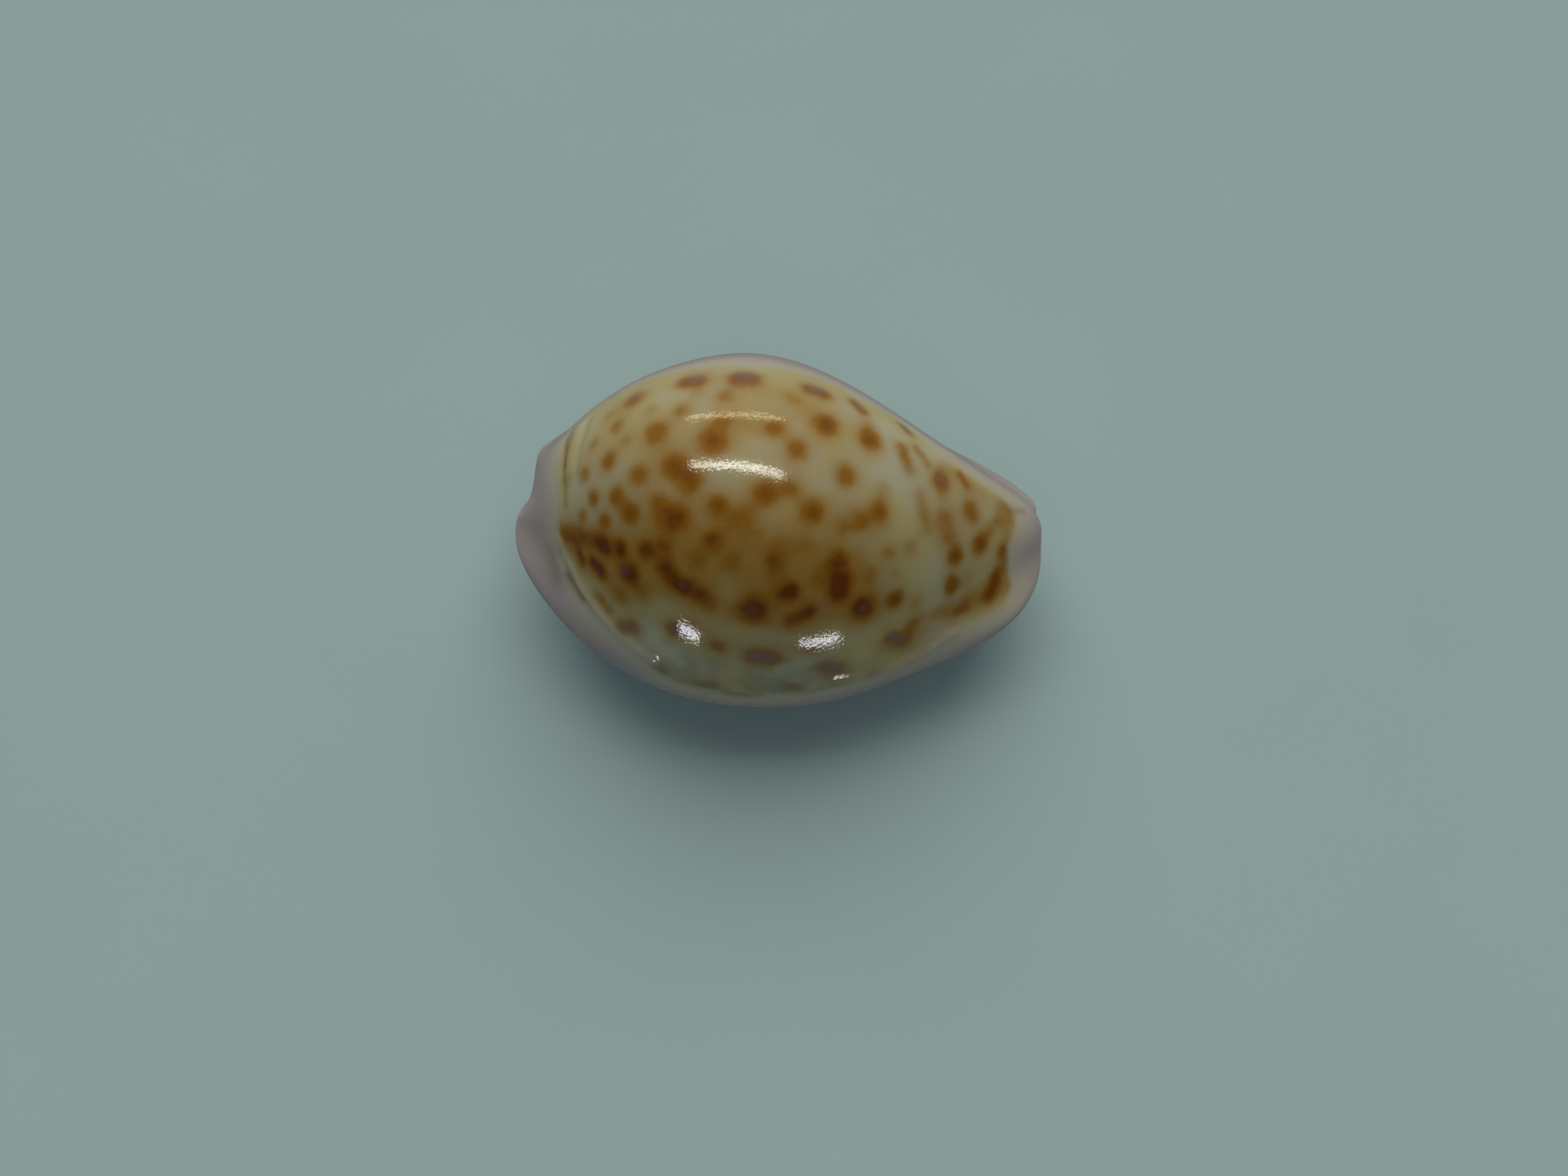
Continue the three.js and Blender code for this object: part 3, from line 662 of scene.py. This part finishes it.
def glazed_enamel():
    """Cowrie enamel: aragonite laid down by the mantle in clear glossy coats over the pigment.

    It gives a wet-looking gloss with small tight highlights, soft-edged spots that lie under the surface,
    and a milky lilac callus that hides the pattern at the rims.
    """
    material = bpy.data.materials.new("glazed_cowrie_enamel")
    material.use_nodes = True
    tree = material.node_tree
    tree.nodes.clear()
    place = add_node(tree, "ShaderNodeTexCoord", gives="Object")
    broad, patchy, ragged, fine = [
        add_node(tree, "ShaderNodeTexNoise", {"Vector": place, "Scale": 1 / (grain * MM), "Detail": detail})
        for grain, detail in ((5.0, 2.0), (1.5, 2.0), (0.35, 3.0), (0.16, 1.0))
    ]
    spot, heart, stain, halo, line, ridge, callus, rim, veil_and_shade = [
        add_node(tree, "ShaderNodeAttribute", gives="Fac", attribute_name=name)
        for name in ("spot", "heart", "stain", "halo", "line", "ridge", "callus", "rim", "veil_and_shade")
    ]
    # Every noise is spread over a range of its own: how milky the ground is, how thick a stain lies,
    # how blotched and speckled a spot is, how ragged the callus edge, how thick lilac, veil and callus lie,
    # and how polished the surface is. The veil is partly the grey-olive tone of the low flanks, partly
    # painted shade.
    milky, stained, blotched, speckled, edged, lilac, veil_and_shade_depth, ghosting, polish = [
        add_node(
            tree, "ShaderNodeMapRange",
            {"Value": noise, "From Min": low, "From Max": high, "To Min": least, "To Max": most},
            interpolation_type="SMOOTHSTEP",
        )
        for noise, low, high, least, most in (
            (broad, 0.42, 0.7, 0.0, 1.0),
            (patchy, 0.3, 0.65, 0.6, 1.0),
            (patchy, 0.2, 0.8, -0.1, 0.1),
            (ragged, 0.2, 0.8, -0.035, 0.035),
            (ragged, 0.2, 0.8, -0.08, 0.08),
            (ragged, 0.2, 0.8, 0.7, 1.0),
            (patchy, 0.3, 0.7, 0.25, 1.0),
            (patchy, 0.3, 0.7, 0.8, 0.97),
            (patchy, 0.2, 0.8, 0.08, 0.13),
        )
    ]
    stain_share = add_node(tree, "ShaderNodeMath", {0: stain, 1: stained}, operation="MULTIPLY")
    tan_share = add_node(tree, "ShaderNodeMath", {0: stain_share, 1: halo}, operation="ADD", use_clamp=True)

    near_spot = add_node(tree, "ShaderNodeMapRange", {"Value": spot, "From Max": 0.3})
    ragging = add_node(tree, "ShaderNodeMath", {0: blotched, 1: speckled}, operation="ADD")
    even = add_node(tree, "ShaderNodeMath", {0: stain_share, 1: 0.3, 2: spot}, operation="MULTIPLY_ADD")
    pigment = add_node(tree, "ShaderNodeMath", {0: ragging, 1: near_spot, 2: even}, operation="MULTIPLY_ADD")
    covered = add_node(tree, "ShaderNodeMapRange", {"Value": pigment, "From Min": 0.03, "From Max": 0.6})
    deepened = add_node(tree, "ShaderNodeMapRange", {"Value": pigment, "From Min": 0.25, "From Max": 0.65})
    darkened = add_node(tree, "ShaderNodeMapRange", {"Value": pigment, "From Min": 0.66, "From Max": 1.04})
    browns = linear(TAN)
    for share, colour in ((deepened, linear(BROWN)), (darkened, linear(DARK_BROWN))):
        browns = add_node(tree, "ShaderNodeMix", {0: share, 6: browns, 7: colour}, gives=2, data_type="RGBA")

    heart_share = add_node(tree, "ShaderNodeMath", {0: heart, 1: lilac}, operation="MULTIPLY")
    veil_and_shade_share = add_node(tree, "ShaderNodeMath", {0: veil_and_shade, 1: veil_and_shade_depth}, operation="MULTIPLY")
    callus_edge = add_node(tree, "ShaderNodeMath", {0: callus, 1: edged}, operation="ADD")
    callus_share = add_node(
        tree, "ShaderNodeMapRange",
        {"Value": callus_edge, "From Min": 0.1, "From Max": 0.9, "To Max": ghosting},
    )
    callus_colour = add_node(
        tree, "ShaderNodeMix", {0: rim, 6: linear(CALLUS_INNER), 7: linear(CALLUS_OUTER)},
        gives=2, data_type="RGBA",
    )

    coat = linear(CREAM)
    for share, colour in (
        (milky, linear(MILK)),
        (tan_share, linear(TAN)),
        (covered, browns),
        (heart_share, linear(HEART_LILAC)),
        # The veil: partly the flanks' grey-olive tone, partly painted shade on the low sides.
        (veil_and_shade_share, linear(VEIL_AND_PAINTED_SHADE)),
        (callus_share, callus_colour),
        (ridge, linear(CALLUS_INNER)),
        # The brown lines are partly marks of the enamel, partly painted shade in the groove beside the coat
        # ridge.
        (line, linear(LINE_BROWN)),
    ):
        coat = add_node(tree, "ShaderNodeMix", {0: share, 6: coat, 7: colour}, gives=2, data_type="RGBA")

    uneven = add_node(tree, "ShaderNodeBump", {"Height": fine, "Distance": 0.006 * MM, "Strength": 1.0})
    shader = add_node(
        tree, "ShaderNodeBsdfPrincipled",
        {
            "Base Color": coat, "Roughness": polish, "Normal": uneven, "IOR": 1.55,
            "Subsurface Weight": 0.06, "Subsurface Scale": 0.6 * MM, "Subsurface Radius": (1.0, 0.8, 0.5),
        },
    )
    add_node(tree, "ShaderNodeOutputMaterial", {"Surface": shader})
    return material


def matt_card():
    """Pale grey-green card, calendered smooth: an even ground with only a faint mottle."""
    material = bpy.data.materials.new("pale_matt_card")
    material.use_nodes = True
    tree = material.node_tree
    tree.nodes.clear()
    place = add_node(tree, "ShaderNodeTexCoord", gives="Object")
    mottle = add_node(tree, "ShaderNodeTexNoise", {"Vector": place, "Scale": 60.0, "Detail": 3.0})
    tone = add_node(
        tree, "ShaderNodeMix", {0: mottle, 6: linear(CARD_DARK), 7: linear(CARD_PALE)},
        gives=2, data_type="RGBA",
    )
    shader = add_node(tree, "ShaderNodeBsdfPrincipled", {"Base Color": tone, "Roughness": 0.85, "IOR": 1.45})
    add_node(tree, "ShaderNodeOutputMaterial", {"Surface": shader})
    return material


def build_shell():
    mesh, outer_count = shell_mesh()
    for name, values in marking_fields(outer_skin).items():
        in_cavity = 1.0 if name in ("callus", "rim") else 0.0  # the cavity wall is plain enamel, unspotted
        add_field(mesh, name, values, in_cavity)
    add_field(mesh, "tooth_reach", tooth_reach(), 0.0)
    shape_skin(mesh, outer_count)
    rough = bpy.data.objects.new("shell_before_teeth", mesh)
    bpy.context.scene.collection.objects.link(rough)
    shell = toothed(rough, glazed_enamel(), "spotted_cowrie_shell")
    shell.data.polygons.foreach_set("use_smooth", [True] * len(shell.data.polygons))
    return shell


# ---------------------------------------------------------------- floor, camera and light

CAMERA_AT = Vector((-1.54, -36.43, 88.42)) * MM
CAMERA_LOOKS = Vector((0.0203, 0.3679, -0.9296))
CAMERA_UP = Vector((-0.0064, 0.9298, 0.3679))
CAMERA_LENS = 36.32
FLOOR_REACH = 6  # metres from the middle of the floor to its edges


def facing(at, forward, up):
    """The placing of a camera or lamp that looks along forward, with up as near its own as can be."""
    back = -forward.normalized()
    right = up.cross(back).normalized()
    turn = Matrix((right, back.cross(right), back)).transposed()
    return Matrix.Translation(at) @ turn.to_4x4()


def add_camera():
    data = bpy.data.cameras.new("viewing_camera")
    data.lens = CAMERA_LENS
    data.sensor_width = 36
    data.clip_start = 0.002
    data.clip_end = 20
    camera = bpy.data.objects.new("viewing_camera", data)
    camera.matrix_world = facing(CAMERA_AT, CAMERA_LOOKS, CAMERA_UP)
    bpy.context.scene.collection.objects.link(camera)
    bpy.context.scene.camera = camera


def add_lamp(name, at, aim, length, width, power, colour, gloss_only=False, along=(1, 0, 0)):
    """A rectangular lamp at a place in millimetres, its length set along a direction.

    It either lights softly and shows in no gloss, or it is seen only as a highlight.
    """
    data = bpy.data.lights.new(name, "AREA")
    data.shape = "RECTANGLE"
    data.size = length * MM
    data.size_y = width * MM
    data.energy = power
    data.color = linear(colour)[:3]
    lamp = bpy.data.objects.new(name, data)
    forward = Vector(aim) - Vector(at)
    lamp.matrix_world = facing(Vector(at) * MM, forward, forward.cross(Vector(along)))
    lamp.visible_glossy = gloss_only
    lamp.visible_diffuse = not gloss_only
    bpy.context.scene.collection.objects.link(lamp)


def gloss_direction(x, g):
    """Which way a lamp has to stand for the camera to see it shine at a place on the shell."""
    here = on_skin(x, g)
    along = on_skin(x + 0.2, g) - on_skin(x - 0.2, g)
    across = on_skin(x, g - 0.2) - on_skin(x, g + 0.2)
    normal = np.cross(across, along)
    normal /= np.linalg.norm(normal)
    seen = np.array(CAMERA_AT) / MM - here
    seen /= np.linalg.norm(seen)
    return here, 2 * (normal @ seen) * normal - seen


def add_gloss_lamp(name, x, g, away, length, width, power, colour, along):
    here, direction = gloss_direction(x, g)
    add_lamp(name, here + away * direction, here, length, width, power, colour, True, along)


def add_light():
    world = bpy.data.worlds.new("soft_room")
    world.use_nodes = True
    tree = world.node_tree
    tree.nodes.clear()
    way = add_node(tree, "ShaderNodeTexCoord", gives="Generated")
    backward = add_node(tree, "ShaderNodeSeparateXYZ", {"Vector": way}, gives="Y")
    glow = add_node(
        tree, "ShaderNodeMapRange",
        {"Value": backward, "From Min": -0.3, "From Max": 0.6, "To Min": 0.04, "To Max": 0.2},
    )
    room = add_node(tree, "ShaderNodeBackground", {"Color": linear("#dfe6e2"), "Strength": glow})
    add_node(tree, "ShaderNodeOutputWorld", {"Surface": room})
    bpy.context.scene.world = world
    add_lamp("sky_panel", (0, 1600, 2050), (0, 0, 5), 3400, 2400, 46, "#fffaf2")
    add_lamp("fill_panel", (0, -1500, 2000), (0, 0, 5), 3000, 2000, 7.5, "#f2f6ff")
    add_gloss_lamp("back_tube", -2.3, 1.5, 300, 235, 14, 0.08, "#fff0cc", (1, 0, 0))
    add_gloss_lamp("front_tube", -2.2, -1.6, 300, 300, 21, 0.3, "#fdfbf4", (1, -0.14, 0))
    # The two glints are lit from below the floor, which the gloss doesn't show.
    add_gloss_lamp("low_left_glint", -4.8, -10.7, 250, 42, 14, 0.034, "#f4f6ff", (1, -0.2, 0))
    add_gloss_lamp("low_right_glint", 2.1, -10.9, 250, 62, 12, 0.04, "#f4f6ff", (1, 0.15, 0))


def add_floor():
    mesh = bpy.data.meshes.new("studio_floor")
    corners = [(x * FLOOR_REACH, y * FLOOR_REACH, 0) for x, y in ((-1, -1), (1, -1), (1, 1), (-1, 1))]
    mesh.from_pydata(corners, [], [(0, 1, 2, 3)])
    floor = bpy.data.objects.new("studio_floor", mesh)
    mesh.materials.append(matt_card())
    floor.visible_glossy = False  # so that its pale reflection doesn't grey the dark spots
    bpy.context.scene.collection.objects.link(floor)


shell = build_shell()
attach(shell, "root")
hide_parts("cowrie_shell")
add_floor()
add_camera()
add_light()
bpy.context.scene.view_settings.view_transform = "Standard"
